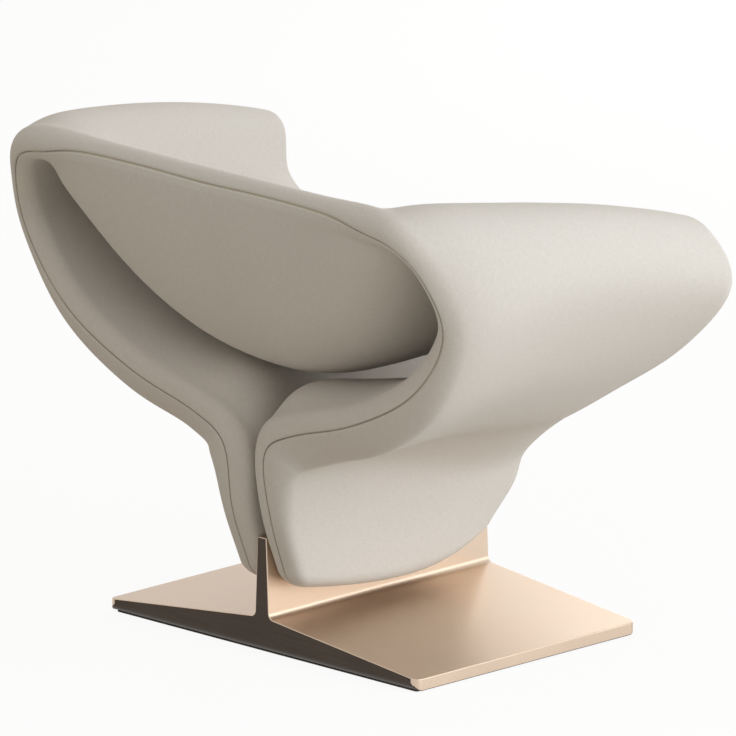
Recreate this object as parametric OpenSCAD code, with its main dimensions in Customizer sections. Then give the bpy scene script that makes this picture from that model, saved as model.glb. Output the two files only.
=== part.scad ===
// Ribbon lounge chair: one wide padded ribbon, folded into a closed loop and
// clamped on both sides of the upright fin of a metal pedestal.
// Millimetres. +Z is up, the sitter faces -Y, X = 0 is the mirror plane, and the
// origin lies on the floor at the middle of the pedestal's plate.

/* [Pedestal] */
// Width of the floor plate, side to side
plate_w = 622; // [580:1:660]
// Depth of the floor plate, front to back
plate_d = 444; // [430:1:480]
// Thickness of the plate at its side edges
plate_edge_t = 18; // [12:1:24]
// Height at which the plate's top meets the fin
plate_root_h = 50; // [42:1:58]
// Radius of the plate's upright corners
plate_corner_r = 12; // [6:1:24]
// Height of the fin's top edge above the plate's underside
fin_h = 168; // [162:1:176]
// Thickness of the fin at its top
fin_top_t = 18; // [14:0.5:20]
// Thickness of the fin at its foot
fin_foot_t = 28; // [26:0.5:30]
// Radius of the fillet between the plate and the fin
fin_fillet_r = 9; // [5:0.5:14]
// Bevel along the long edges of the plate and the fin
edge_bevel = 1; // [0.5:0.1:2]

/* [Floor pad] */
// Thickness of the pad under the plate
pad_t = 2; // [1:0.1:4]
// Distance from the plate's edges to the edges of the pad
pad_inset = 8; // [3:1:30]

/* [Ribbon outline] */
// Half the distance between the middles of the two legs at the hem
leg_x = 36; // [35:0.5:40]
// Height of the leg's middle layer above the floor at the hem
hem_h = 102; // [98:1:108]
// Height at which the rear rim turns outwards above the leg
neck_rear_h = 312; // [300:1:322]
// Height at which the front rim turns outwards above the leg
neck_front_h = 238; // [228:1:248]
// How far behind the origin the rear rim of the legs runs
leg_rear_y = 236; // [226:1:246]
// How far in front of the origin the front rim of the legs runs
leg_front_y = 224; // [214:1:236]
// Half the width of the ribbon's middle layer at the arm tips
arm_reach = 451; // [430:1:475]
// Height of the arm's ridge near the back
arm_rear_h = 686; // [666:1:706]
// Height of the arm's ridge at the front
arm_front_h = 614; // [600:1:634]
// Height of the back's top rim
back_h = 706; // [690:1:730]
// How far behind the origin the back's top rim lies
back_y = 318; // [305:1:335]
// Height of the seat's middle layer at its lowest
seat_h = 418; // [412:1:430]
// Height of the seat's front rim
seat_front_h = 432; // [426:1:446]
// How far in front of the origin the seat's front rim lies
seat_front_y = 265; // [250:1:290]

/* [Padding] */
// Padding from the middle layer to the face of the legs
leg_pad = 24; // [23:0.5:28]
// Padding below the rear rim where the ribbon flares outwards
flare_pad = 48; // [36:1:50]
// Padding over the arms
arm_pad = 18; // [17:0.5:20]
// Padding over the seat and the back
seat_pad = 27; // [22:0.5:31]
// Extra padding on the inside of the bend above each leg
neck_pad = 36; // [26:1:38]
// Extra padding over the corner between each arm and the back
corner_pad = 22; // [10:1:26]
// How far the padding reaches past the middle of each rim
rim_pad = 24; // [18:0.5:27]
// Thickness of the fabric cover
cover_t = 1.5; // [1:0.1:2.5]
// Clearance between pieces that are seated on each other
seat_clear = 0.3; // [0.1:0.1:0.5]

/* [Frame] */
// Outer diameter of the rim tubes
rim_tube_d = 16; // [12:0.5:17]
// Outer diameter of the cross tubes
cross_tube_d = 12; // [8:0.5:16]
// Half the depth of the pocket that the padding leaves for the frame
pocket_half = 10.5; // [10:0.1:11.5]
// Width of one webbing strap
strap_w = 40; // [30:1:46]
// Thickness of one webbing strap
strap_t = 3; // [2:0.5:5]

/* [Clamp] */
// Distance from the mirror plane to the inner face of each clamp plate
clamp_x = 30; // [29:0.5:31]
// Thickness of each clamp plate
clamp_t = 6; // [4:0.5:6.5]
// Diameter of the clamp bolts
bolt_d = 8; // [6:0.5:9]
// Height of the bolts above the floor
bolt_h = 143; // [140:1:147]
// Distance between neighbouring bolts
bolt_pitch = 110; // [90:1:115]
// Outer diameter of the spacer sleeves
sleeve_d = 16; // [13:0.5:20]
// Outer diameter of the washers
washer_d = 17; // [15:0.5:20]
// Thickness of the washers
washer_t = 1.6; // [1:0.1:2]
// Width of the bolt heads and nuts across the flats
hex_w = 13; // [11:0.5:14]
// Height of the bolt heads
head_h = 5.3; // [4:0.1:6]
// Height of the nuts
nut_h = 6.5; // [5:0.1:7]

/* [Hidden] */

metal_colour = "tan";
steel_colour = "dimgray";
zinc_colour = "silver";
webbing_colour = "black";
foam_colour = "khaki";
cover_colour = "antiquewhite";

// The ribbon's middle layer runs through four rows of stations, from the rear rim to the
// front rim. Each row starts at the hem of the left leg and ends on the mirror plane in
// the middle of the seat: leg, neck, flare, arm tip, ridge, sitter's side, seat.
rear_rim = [
    [leg_x, leg_rear_y - 46, hem_h + 18],
    [leg_x + 3, leg_rear_y - 16, hem_h + 108],
    [leg_x + 9, leg_rear_y, neck_rear_h],
    [leg_x + 76, leg_rear_y + 4, neck_rear_h + 40],
    [arm_reach - 221, leg_rear_y + 7, neck_rear_h + 76],
    [arm_reach - 101, leg_rear_y + 10, neck_rear_h + 143],
    [arm_reach - 29, leg_rear_y + 20, back_h - 146],
    [arm_reach - 39, back_y - 30, back_h - 59],
    [arm_reach - 77, back_y - 3, back_h - 12],
    [arm_reach - 141, back_y + 3, back_h],
    [215, back_y + 3, back_h],
    [108, back_y + 1, back_h - 1],
    [0, back_y, back_h - 2]];
rear_third = [
    [leg_x, leg_rear_y - 174, hem_h],
    [leg_x + 4, leg_rear_y - 156, hem_h + 98],
    [leg_x + 22, leg_rear_y - 156, neck_rear_h - 2],
    [leg_x + 104, leg_rear_y - 146, neck_rear_h + 58],
    [arm_reach - 206, leg_rear_y - 146, neck_rear_h + 90],
    [arm_reach - 89, leg_rear_y - 154, neck_rear_h + 163],
    [arm_reach - 8, leg_rear_y - 141, arm_rear_h - 96],
    [arm_reach - 23, leg_rear_y - 131, arm_rear_h - 18],
    [arm_reach - 71, leg_rear_y - 116, arm_rear_h],
    [arm_reach - 119, back_y - 176, arm_rear_h - 52],
    [234, back_y - 132, seat_h + 109],
    [112, back_y - 110, seat_h + 60],
    [0, back_y - 108, seat_h + 48]];
front_third = [
    [leg_x, 158 - leg_front_y, hem_h - 2],
    [leg_x + 4, 149 - leg_front_y, hem_h + 78],
    [leg_x + 22, 144 - leg_front_y, neck_front_h + 22],
    [leg_x + 99, 144 - leg_front_y, neck_front_h + 87],
    [arm_reach - 216, 144 - leg_front_y, neck_front_h + 130],
    [arm_reach - 91, 140 - leg_front_y, neck_front_h + 220],
    [arm_reach - 1, 144 - leg_front_y, arm_front_h - 40],
    [arm_reach - 15, 144 - leg_front_y, arm_front_h + 31],
    [arm_reach - 57, 152 - leg_front_y, arm_front_h + 40],
    [arm_reach - 93, 174 - leg_front_y, arm_front_h - 26],
    [252, 255 - seat_front_y, seat_h + 90],
    [115, 270 - seat_front_y, seat_h + 30],
    [0, 275 - seat_front_y, seat_h - 2]];
front_rim = [
    [leg_x, 56 - leg_front_y, hem_h + 22],
    [leg_x + 4, 12 - leg_front_y, hem_h + 78],
    [leg_x + 16, -leg_front_y, neck_front_h],
    [leg_x + 79, -leg_front_y - 8, neck_front_h + 62],
    [arm_reach - 236, -leg_front_y - 12, neck_front_h + 122],
    [arm_reach - 103, -leg_front_y - 16, neck_front_h + 217],
    [arm_reach + 2, -leg_front_y - 14, arm_front_h - 64],
    [arm_reach - 13, -leg_front_y + 8, arm_front_h - 2],
    [arm_reach - 49, -leg_front_y + 20, arm_front_h],
    [arm_reach - 69, -leg_front_y + 26, arm_front_h - 70],
    [arm_reach - 147, 52 - seat_front_y, seat_front_h + 48],
    [130, 15 - seat_front_y, seat_front_h + 12],
    [0, -seat_front_y, seat_front_h]];
last = len(rear_rim) - 1;

// Padding at each station on the outer face and on the inner face, at each of the two rims
outer_rear_pad = [leg_pad, leg_pad, leg_pad + 13, flare_pad, flare_pad + 2, flare_pad - 10,
    arm_pad + 3, arm_pad + 1, arm_pad + 2, seat_pad - 3, seat_pad, seat_pad, seat_pad];
outer_front_pad = [leg_pad, leg_pad, leg_pad + 2, leg_pad + 3, leg_pad + 3, leg_pad,
    arm_pad, arm_pad, arm_pad, arm_pad + 2, seat_pad - 2, seat_pad, seat_pad];
inner_rear_pad = [leg_pad, leg_pad + 5, leg_pad + 8, leg_pad + 10, leg_pad + 10, leg_pad + 2,
    arm_pad + 1, arm_pad - 1, arm_pad - 1, arm_pad + 1, seat_pad - 4, seat_pad - 1,
    seat_pad - 1];
inner_front_pad = [leg_pad, leg_pad, leg_pad + 2, leg_pad, leg_pad - 2, leg_pad - 4,
    arm_pad, arm_pad - 1, arm_pad - 1, arm_pad + 1, seat_pad - 6, seat_pad - 1,
    seat_pad - 1];
neck_outer_share = 0.5;
// Place across the ribbon where the bend above the leg and the corner are padded most
bump_peak = 1 / 8;
// Stations where the inner and the outer side of the bend and the corner are padded most
neck_inner_u = 2.9;
neck_outer_u = 2.6;
corner_u = 8.6;

// Places of the rings along the ribbon, counted in stations
leg_rings = [0, 0.3, 0.65, 1.2, 1.65, 2.05, 2.5];
arm_rings = [2.5, 3, 3.6, 4.3, 5, 5.6, 6.2, 6.75, 7.25, 7.7, 8.1, 8.5, 9];
seat_rings = [9, 9.6, 10.2, 10.8, 11.4, 12];
half_rings = concat([for (i = [0:len(leg_rings) - 2]) leg_rings[i]],
    [for (i = [0:len(arm_rings) - 2]) arm_rings[i]], seat_rings);
// Places of the points across the ribbon, from the rear rim to the front rim
across = [0, 0.14, 0.3, 0.48, 0.66, 0.84, 1];
// Angles of the rings that round off the hem
hem_angles = [80, 45];
tube_sides = 8;
strap_steps = [for (j = [1:len(across) - 2]) across[j]];
strap_end_share = 0.3;
tube_start = 0.42;
pocket_start = 0.2;
clamp_low = 0.47;
clamp_high = 0.8;
clamp_foot = 18;
clamp_foot_drop = 11;
step = 0.01;

tube_r = rim_tube_d / 2;
cross_r = cross_tube_d / 2;
bolt_shift_y = 8;
bolt_ys = [bolt_shift_y - bolt_pitch, bolt_shift_y, bolt_shift_y + bolt_pitch];

function unit(a) = a / norm(a);
function mirrored(p) = [-p[0], p[1], p[2]];
function blend(a, b, f) = a * (1 - f) + b * f;

// Value of a list of numbers at place u, straight between the entries
function listed(list, u) = let (i = min(floor(u), len(list) - 2)) blend(list[i], list[i + 1], u - i);

// A row goes on past its ends: straight at the hem, mirrored at the middle of the seat
function station(row, i) = i < 0 ? 2 * row[0] - row[1]
    : i > last ? mirrored(row[2 * last - i]) : row[i];

// Smooth curve through a row's stations at place u
function along(row, u) = let (
        i = max(0, min(floor(u), last - 1)),
        f = u - i,
        a = station(row, i - 1),
        b = station(row, i),
        c = station(row, i + 1),
        d = station(row, i + 2))
    0.5 * (2 * b + (c - a) * f + (2 * a - 5 * b + 4 * c - d) * f * f
        + (3 * b - a - 3 * c + d) * f * f * f);

// Middle layer at place u along the ribbon and share v from the rear rim to the front rim
function middle(u, v) = let (a = v - 1 / 3, b = v - 2 / 3, c = v - 1)
    along(rear_rim, u) * (-4.5 * a * b * c) + along(rear_third, u) * (13.5 * v * b * c)
    + along(front_third, u) * (-13.5 * v * a * c) + along(front_rim, u) * (4.5 * v * a * b);

function lengthwise(u, v) = unit(middle(u + step, v) - middle(u - step, v));
function crosswise(u, v) = unit(middle(u, min(1, v + step)) - middle(u, max(0, v - step)));
function outward(u, v) = unit(cross(lengthwise(u, v), crosswise(u, v)));
// Square to the rim and to the outward direction, towards the front rim
function rimwise(u, v) = cross(outward(u, v), lengthwise(u, v));

// Padding on the outer and the inner side of the middle layer
function bump(u, middle_u) = exp(-pow(u - middle_u, 2));
function rim_blend(rear_list, front_list, u, v) =
    blend(listed(front_list, u), listed(rear_list, u), pow(1 - v, 1.5));
function rear_share(v) = v / bump_peak * pow((1 - v) / (1 - bump_peak), 1 / bump_peak - 1);
function outer_depth(u, v) = rim_blend(outer_rear_pad, outer_front_pad, u, v)
    + neck_pad * neck_outer_share * bump(u, neck_outer_u) * pow(sin(180 * v), 2)
    + corner_pad * bump(u, corner_u) * rear_share(v);
function inner_depth(u, v) = rim_blend(inner_rear_pad, inner_front_pad, u, v)
    + neck_pad * bump(u, neck_inner_u) * rear_share(v);

// One point of the padding's skin: share v across, side from 1 (outer) to -1 (inner), and
// reach past the rim from 0 to 1, all drawn in by inset
function skin_point(u, v, side, reach, inset) = let (
        depth = (side > 0 ? outer_depth(u, v) : inner_depth(u, v)) - inset,
        past = (v < 0.5 ? -1 : 1) * reach * (rim_pad - inset))
    middle(u, v) + outward(u, v) * side * depth + crosswise(u, v) * past;

// One point of the pocket around the middle layer
function pocket_point(u, v, side, reach) = middle(u, v) + outward(u, v) * side * pocket_half
    + rimwise(u, v) * (v < 0.5 ? -1 : 1) * reach * pocket_half;

// Sections across the ribbon, as [v, side, reach], and the angles of their rounded rims
half_turn = [for (v = across) [v, 1, 0]];
half_turn_back = [for (i = [len(across) - 1:-1:0]) [across[i], -1, 0]];
function rim_arc(v, from, to) = [for (k = [0:2]) let (a = blend(from, to, k / 2)) [v, cos(a), sin(a)]];
full_section = concat(half_turn, rim_arc(1, 45, 135), half_turn_back, rim_arc(0, 135, 45));
outer_section = concat([[0, 0, 1], [0, cos(45), sin(45)]], half_turn,
    [[1, cos(45), sin(45)], [1, 0, 1]]);
inner_section = concat([[1, 0, 1], [1, -cos(45), sin(45)]], half_turn_back,
    [[0, -cos(45), sin(45)], [0, 0, 1]]);

function skin_ring(u, section, inset) = [for (s = section) skin_point(u, s[0], s[1], s[2], inset)];
function pocket_ring(u) = [for (s = full_section) pocket_point(u, s[0], s[1], s[2])];

// A ring of the rounded hem at angle a: the first ring drawn in towards the middle layer
function hem_ring(a, section, inset) = [for (s = section) let (base = middle(0, s[0]))
    base + (skin_point(0, s[0], s[1], s[2], inset) - base) * cos(a)
    - lengthwise(0, s[0]) * (rim_pad - inset) * sin(a)];
function hem_rings(section, inset) = [for (a = hem_angles) hem_ring(a, section, inset)];

function other_side(rings) = [for (i = [len(rings) - 1:-1:0]) [for (p = rings[i]) mirrored(p)]];
function without_last(rings) = [for (i = [0:len(rings) - 2]) rings[i]];

// Faces of a closed band of rings: walls between rings, with n points in each ring. Walls
// are split along their other diagonal from ring turn on, as in a mirror image, and from
// point back on, where the path runs back: skins that lie on each other then split alike
function band_faces(count, n, start, flip, turn, back) = [for (i = [0:count - 2], j = [0:n - 1], h = [0, 1])
    let (
        k = (j + 1) % n,
        a = start + i * n + j,
        b = start + i * n + k,
        c = start + (i + 1) * n + k,
        d = start + (i + 1) * n + j,
        plain = (i < turn) == (j < back),
        t = plain ? (h == 0 ? [a, b, c] : [a, c, d]) : (h == 0 ? [a, b, d] : [b, c, d]))
    flip ? [t[2], t[1], t[0]] : t];

// Faces that close a thin section: point j is joined to point n - 1 - j
function slit_faces(n, start, flip) = [for (j = [0:n / 2 - 2], h = [0, 1])
    let (
        a = start + j,
        b = start + j + 1,
        c = start + n - 2 - j,
        d = start + n - 1 - j,
        t = h == 0 ? [a, b, c] : [a, c, d])
    flip ? [t[2], t[1], t[0]] : t];

// Faces between an outer ring and the ring inside it
function annulus_faces(n, outer_start, inner_start, flip) = [for (j = [0:n - 1], h = [0, 1])
    let (
        k = (j + 1) % n,
        a = outer_start + j,
        b = outer_start + k,
        c = inner_start + k,
        d = inner_start + j,
        t = h == 0 ? [a, b, c] : [a, c, d])
    flip ? [t[2], t[1], t[0]] : t];

// A solid through closed rings, closed at both ends as a slit
module slit_solid(rings, turn) {
    n = len(rings[0]);
    count = len(rings);
    polyhedron(points = [for (r = rings) each r],
        faces = concat(band_faces(count, n, 0, false, turn, n / 2), slit_faces(n, 0, true),
            slit_faces(n, (count - 1) * n, false)));
}

// A solid through closed rings, closed at both ends with one flat face
module rod(rings, turn) {
    n = len(rings[0]);
    count = len(rings);
    polyhedron(points = [for (r = rings) each r],
        faces = concat(band_faces(count, n, 0, false, turn, n), [[for (j = [n - 1:-1:0]) j]],
            [[for (j = [0:n - 1]) (count - 1) * n + j]]));
}

// A sleeve of padding around the frame's pocket, open at both ends
module sleeve(outer_rings, inner_rings, turn) {
    n = len(outer_rings[0]);
    count = len(outer_rings);
    inner_start = count * n;
    polyhedron(points = [for (r = concat(outer_rings, inner_rings)) each r],
        faces = concat(band_faces(count, n, 0, false, turn, n),
            band_faces(count, n, inner_start, true, turn, n),
            annulus_faces(n, 0, inner_start, true),
            annulus_faces(n, (count - 1) * n, inner_start + (count - 1) * n, false)));
}

// A stocking of padding: closed and rounded at the hem, open at the neck
module stocking(outer_rings, inner_rings) {
    n = len(outer_rings[0]);
    outer_count = len(outer_rings);
    inner_count = len(inner_rings);
    inner_start = outer_count * n;
    polyhedron(points = [for (r = concat(outer_rings, inner_rings)) each r],
        faces = concat(band_faces(outer_count, n, 0, false, outer_count, n),
            band_faces(inner_count, n, inner_start, true, inner_count, n),
            slit_section_faces(0, true), slit_section_faces(inner_start, false),
            annulus_faces(n, (outer_count - 1) * n, inner_start + (inner_count - 1) * n, false)));
}

// Faces that close a full section: its outer half is joined to its inner half, and each
// rounded rim is a fan of its own
across_n = len(across);
rim_n = 3;
function slit_section_faces(start, flip) = let (
        n = len(full_section),
        inner_first = across_n + rim_n,
        pairs = [for (j = [0:across_n - 2], h = [0, 1]) let (
                a = j,
                b = j + 1,
                c = inner_first + across_n - 2 - j,
                d = inner_first + across_n - 1 - j)
            h == 0 ? [a, b, c] : [a, c, d]],
        front_fan = [for (k = [0:rim_n - 1]) [across_n - 1, across_n + k,
            k == rim_n - 1 ? inner_first : across_n + k + 1]],
        rear_fan = [for (k = [0:rim_n - 1]) [0, k == 0 ? inner_first + across_n - 1
            : inner_first + across_n + k - 1, inner_first + across_n + k]],
        all = concat(pairs, front_fan, rear_fan))
    [for (t = all) flip ? [t[2] + start, t[1] + start, t[0] + start] : t + [start, start, start]];

// Rings of one cover panel, from the hem of one leg over the seat to the other hem
function panel_ring(outside, inside) = concat(outside, [for (i = [len(inside) - 1:-1:0]) inside[i]]);
function half_panel(section) = concat(
    [for (a = hem_angles) panel_ring(hem_ring(a, section, 0), hem_ring(a, section, cover_t))],
    [for (u = half_rings) panel_ring(skin_ring(u, section, 0), skin_ring(u, section, cover_t))]);
module panel(section) {
    half = half_panel(section);
    slit_solid(concat(without_last(half), other_side(half)), len(half) - 1);
}

foam_inset = cover_t + seat_clear;
function foam_rings(us) = [for (u = us) skin_ring(u, full_section, foam_inset)];
function pocket_rings(us) = [for (u = us) pocket_ring(u)];

// A round bar along the points of a path, with its rings square to the path
function path_ring(p, d, side, r) = let (a = unit(cross(d, side)), b = cross(a, d))
    [for (k = [0:tube_sides - 1]) let (t = (k + 0.5) * 360 / tube_sides)
        p + a * r * cos(t) + b * r * sin(t)];
function rim_ring(u, v, r) = path_ring(middle(u, v), lengthwise(u, v), outward(u, v), r);
tube_us = concat([tube_start], [for (i = [2:len(half_rings) - 1]) half_rings[i]]);
function rim_tube_rings(v) = let (half = [for (u = tube_us) rim_ring(u, v, tube_r)])
    concat(without_last(half), other_side(half));

// A cross bar or strap lies on the middle layer and ends at the two rim tubes
function butt(u, v) = let (gap = tube_r + seat_clear)
    middle(u, v) + rimwise(u, v) * (v < 0.5 ? gap : -gap);
function cross_points(u) = concat([butt(u, 0)], [for (v = strap_steps) middle(u, v)], [butt(u, 1)]);
cross_shares = concat([0], strap_steps, [1]);
function cross_rings(u) = let (points = cross_points(u))
    [for (i = [0:len(points) - 1])
        path_ring(points[i], rimwise(u, cross_shares[i]), lengthwise(u, cross_shares[i]), cross_r)];
function strap_rings(u) = let (points = cross_points(u))
    [for (i = [0:len(points) - 1]) let (
            p = points[i],
            share = i == 0 || i == len(points) - 1 ? strap_end_share : 1,
            l = lengthwise(u, cross_shares[i]) * share * strap_w / 2,
            o = outward(u, cross_shares[i]) * strap_t / 2)
        [p - l - o, p + l - o, p + l + o, p - l + o]];
module left_and_right(right) {
    if (right)
        mirror([1, 0, 0]) children();
    else
        children();
}

// Half the fin's thickness at height z above the plate's underside
function fin_half(z) = blend(fin_foot_t, fin_top_t, (z - plate_root_h) / (fin_h - plate_root_h)) / 2;

// Half of the pedestal's outline, from the plate's underside up to the top of the fin
fin_lean = atan2((fin_foot_t - fin_top_t) / 2, fin_h - plate_root_h);
plate_slope = atan2(plate_root_h - plate_edge_t, (plate_w - fin_foot_t) / 2);
// The fillet's middle lies fin_fillet_r away from the plate's top and from the fin's side
fillet_turn = 90 - fin_lean - plate_slope;
fillet_back = fin_fillet_r * tan(fillet_turn / 2);
fillet_foot = [fin_foot_t / 2, plate_root_h] + fillet_back * [cos(plate_slope), -sin(plate_slope)];
fillet_mid = fillet_foot + fin_fillet_r * [sin(plate_slope), cos(plate_slope)];
fillet_parts = 8;
half_outline = concat(
    [[plate_w / 2 - edge_bevel, 0], [plate_w / 2, edge_bevel],
        [plate_w / 2, plate_edge_t - edge_bevel],
        [plate_w / 2 - edge_bevel, plate_edge_t + edge_bevel * tan(plate_slope)]],
    [for (i = [0:fillet_parts]) let (a = 270 - plate_slope - fillet_turn * i / fillet_parts)
        fillet_mid + fin_fillet_r * [cos(a), sin(a)]],
    [[fin_top_t / 2 + edge_bevel * tan(fin_lean), fin_h - edge_bevel],
        [fin_top_t / 2 - edge_bevel, fin_h]]);
pedestal_outline = concat(half_outline,
    [for (i = [len(half_outline) - 1:-1:0]) [-half_outline[i][0], half_outline[i][1]]]);

module plate_outline() {
    square([plate_w - 2 * plate_corner_r, plate_d], center = true);
    square([plate_w, plate_d - 2 * plate_corner_r], center = true);
    for (x = [-1, 1], y = [-1, 1])
        translate([x * (plate_w / 2 - plate_corner_r), y * (plate_d / 2 - plate_corner_r)])
            circle(r = plate_corner_r, $fn = 48);
}

// A bar along X at each bolt, from x = from to x = to
module at_bolts() {
    for (y = bolt_ys)
        translate([0, y, bolt_h])
            rotate([0, 90, 0])
                children();
}

// Floor plate and upright fin, one solid piece of metal
module pedestal() color(metal_colour) {
    difference() {
        translate([0, 0, pad_t])
            intersection() {
                rotate([90, 0, 0])
                    linear_extrude(height = plate_d, center = true)
                        polygon(pedestal_outline);
                linear_extrude(height = fin_h)
                    plate_outline();
            }
        at_bolts()
            cylinder(d = bolt_d + 2 * seat_clear, h = 2 * fin_foot_t, center = true, $fn = 32);
    }
}

// Soft sheet glued to the plate's underside: it protects the floor
module floor_pad() color(webbing_colour) {
    linear_extrude(height = pad_t)
        offset(delta = -pad_inset)
            plate_outline();
}

// Outline of a clamp plate in Y and Z: its ends meet the two rim tubes, and its foot
// reaches below the bolts
function clamp_end(u, v) = let (
        p = middle(u, v),
        d = lengthwise(u, v),
        n = unit([d[2], -d[1]]) * (v < 0.5 ? -1 : 1))
    [p[1], p[2]] + n * (tube_r + seat_clear);
clamp_outline = [[bolt_ys[2] + clamp_foot, bolt_h - clamp_foot_drop], clamp_end(clamp_low, 0),
    clamp_end(clamp_high, 0), clamp_end(clamp_high, 1), clamp_end(clamp_low, 1),
    [bolt_ys[0] - clamp_foot, bolt_h - clamp_foot_drop]];

// Steel plate inside a leg, between its two rim tubes
module clamp_plate(right) color(steel_colour) {
    left_and_right(right)
        difference() {
            translate([clamp_x, 0, 0])
                rotate([90, 0, 90])
                    linear_extrude(height = clamp_t)
                        polygon(clamp_outline);
            at_bolts()
                cylinder(d = bolt_d + 2 * seat_clear, h = 4 * clamp_x, center = true, $fn = 32);
        }
}
module clamp_plate_left() clamp_plate(false);
module clamp_plate_right() clamp_plate(true);

sleeve_x = fin_half(bolt_h - pad_t - sleeve_d / 2);
// Sleeves that carry the clamp through the padding to the fin
module spacer_sleeves() color(zinc_colour) {
    for (right = [false, true])
        left_and_right(right)
            at_bolts()
                translate([0, 0, sleeve_x])
                    difference() {
                        cylinder(d = sleeve_d, h = clamp_x - sleeve_x, $fn = 32);
                        translate([0, 0, -1])
                            cylinder(d = bolt_d + 2 * seat_clear, h = clamp_x, $fn = 32);
                    }
}

clamp_out = clamp_x + clamp_t;
// Through bolts, with their heads on the right clamp plate
module clamp_bolts() color(zinc_colour) {
    at_bolts() {
        translate([0, 0, -clamp_out - washer_t])
            cylinder(d = bolt_d, h = 2 * (clamp_out + washer_t) + nut_h, $fn = 32);
        translate([0, 0, -clamp_out - washer_t - head_h])
            cylinder(d = hex_w / cos(30), h = head_h, $fn = 6);
    }
}

module clamp_washers() color(zinc_colour) {
    at_bolts()
        for (z = [-clamp_out - washer_t, clamp_out])
            translate([0, 0, z])
                difference() {
                    cylinder(d = washer_d, h = washer_t, $fn = 32);
                    translate([0, 0, -1])
                        cylinder(d = bolt_d + 2 * seat_clear, h = washer_t + 2, $fn = 32);
                }
}

module clamp_nuts() color(zinc_colour) {
    at_bolts()
        translate([0, 0, clamp_out + washer_t])
            difference() {
                cylinder(d = hex_w / cos(30), h = nut_h, $fn = 6);
                translate([0, 0, -1])
                    cylinder(d = bolt_d + seat_clear, h = nut_h + 2, $fn = 32);
            }
}

// Bent steel tubes along the ribbon's two rims
module rear_frame_tube() color(steel_colour) rod(rim_tube_rings(0), len(tube_us) - 1);
module front_frame_tube() color(steel_colour) rod(rim_tube_rings(1), len(tube_us) - 1);

cross_tube_us = [3.6, 6.2];
module cross_tubes(right) color(steel_colour) {
    left_and_right(right)
        for (u = cross_tube_us)
            rod(cross_rings(u), len(cross_shares));
}
module cross_tubes_left() cross_tubes(false);
module cross_tubes_right() cross_tubes(true);

// Elastic straps from rim tube to rim tube under the sitter
seat_strap_us = [for (i = [1:len(seat_rings) - 2]) seat_rings[i]];
module seat_webbing() color(webbing_colour) {
    for (right = [false, true])
        left_and_right(right)
            for (u = seat_strap_us)
                rod(strap_rings(u), len(cross_shares));
    rod(strap_rings(last), len(cross_shares));
}

arm_strap_us = [4.3, 5];
module arm_webbing(right) color(webbing_colour) {
    left_and_right(right)
        for (u = arm_strap_us)
            rod(strap_rings(u), len(cross_shares));
}
module arm_webbing_left() arm_webbing(false);
module arm_webbing_right() arm_webbing(true);

// Holes that let the spacer sleeves through the padding and the cover
module sleeve_holes() {
    at_bolts()
        cylinder(d = sleeve_d + 2 * seat_clear, h = 2 * clamp_x, center = true, $fn = 32);
}

module leg_foam(right) color(foam_colour) {
    left_and_right(right)
        difference() {
            stocking(concat(hem_rings(full_section, foam_inset), foam_rings(leg_rings)),
                pocket_rings(concat([pocket_start], [for (i = [1:len(leg_rings) - 1]) leg_rings[i]])));
            sleeve_holes();
        }
}
module leg_foam_left() leg_foam(false);
module leg_foam_right() leg_foam(true);

module arm_foam(right) color(foam_colour) {
    left_and_right(right)
        sleeve(foam_rings(arm_rings), pocket_rings(arm_rings), len(arm_rings));
}
module arm_foam_left() arm_foam(false);
module arm_foam_right() arm_foam(true);

// One piece of foam for the seat and the back, from arm to arm
module seat_back_foam() color(foam_colour) {
    outside = foam_rings(seat_rings);
    inside = pocket_rings(seat_rings);
    sleeve(concat(without_last(outside), other_side(outside)),
        concat(without_last(inside), other_side(inside)), len(inside) - 1);
}

// Fabric panel on the outside of the loop: legs, arms and the sitter's side
module outer_cover() color(cover_colour) panel(outer_section);

// Fabric panel on the inside of the loop, with the sleeves' holes
module inner_cover() color(cover_colour) {
    difference() {
        panel(inner_section);
        sleeve_holes();
    }
}

floor_pad();
pedestal();
clamp_plate_left();
clamp_plate_right();
spacer_sleeves();
clamp_bolts();
clamp_washers();
clamp_nuts();
rear_frame_tube();
front_frame_tube();
cross_tubes_left();
cross_tubes_right();
seat_webbing();
arm_webbing_left();
arm_webbing_right();
leg_foam_left();
leg_foam_right();
arm_foam_left();
arm_foam_right();
seat_back_foam();
outer_cover();
inner_cover();
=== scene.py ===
"""Lounge chair: one padded ribbon in fabric, looped on a metal plate with a fin."""
import math

import bmesh
import bpy
import numpy as np
from bpy.props import FloatProperty, FloatVectorProperty, IntProperty, PointerProperty
from mathutils import Matrix, Vector


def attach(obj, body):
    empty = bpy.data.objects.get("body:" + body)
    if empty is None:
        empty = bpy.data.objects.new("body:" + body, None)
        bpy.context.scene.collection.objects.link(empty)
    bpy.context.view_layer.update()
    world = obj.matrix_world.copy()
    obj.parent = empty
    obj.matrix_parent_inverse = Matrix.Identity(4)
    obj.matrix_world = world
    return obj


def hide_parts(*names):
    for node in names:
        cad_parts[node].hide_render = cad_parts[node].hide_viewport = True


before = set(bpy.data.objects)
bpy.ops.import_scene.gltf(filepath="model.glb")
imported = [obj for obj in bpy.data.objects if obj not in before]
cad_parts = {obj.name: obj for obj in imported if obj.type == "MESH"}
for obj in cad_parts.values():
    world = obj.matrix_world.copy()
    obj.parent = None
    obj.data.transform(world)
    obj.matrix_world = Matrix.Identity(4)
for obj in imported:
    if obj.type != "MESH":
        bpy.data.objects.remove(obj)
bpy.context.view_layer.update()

bl_info = {
    "name": "Ribbon Lounge Chair",
    "version": (1, 0, 0),
    "blender": (4, 5, 0),
    "location": "View3D > Sidebar > Lounge Chair",
    "description": "Dresses the lounge chair's frame with padding, fabric panels and metal",
    "category": "Object",
}

MM = 0.001

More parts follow.
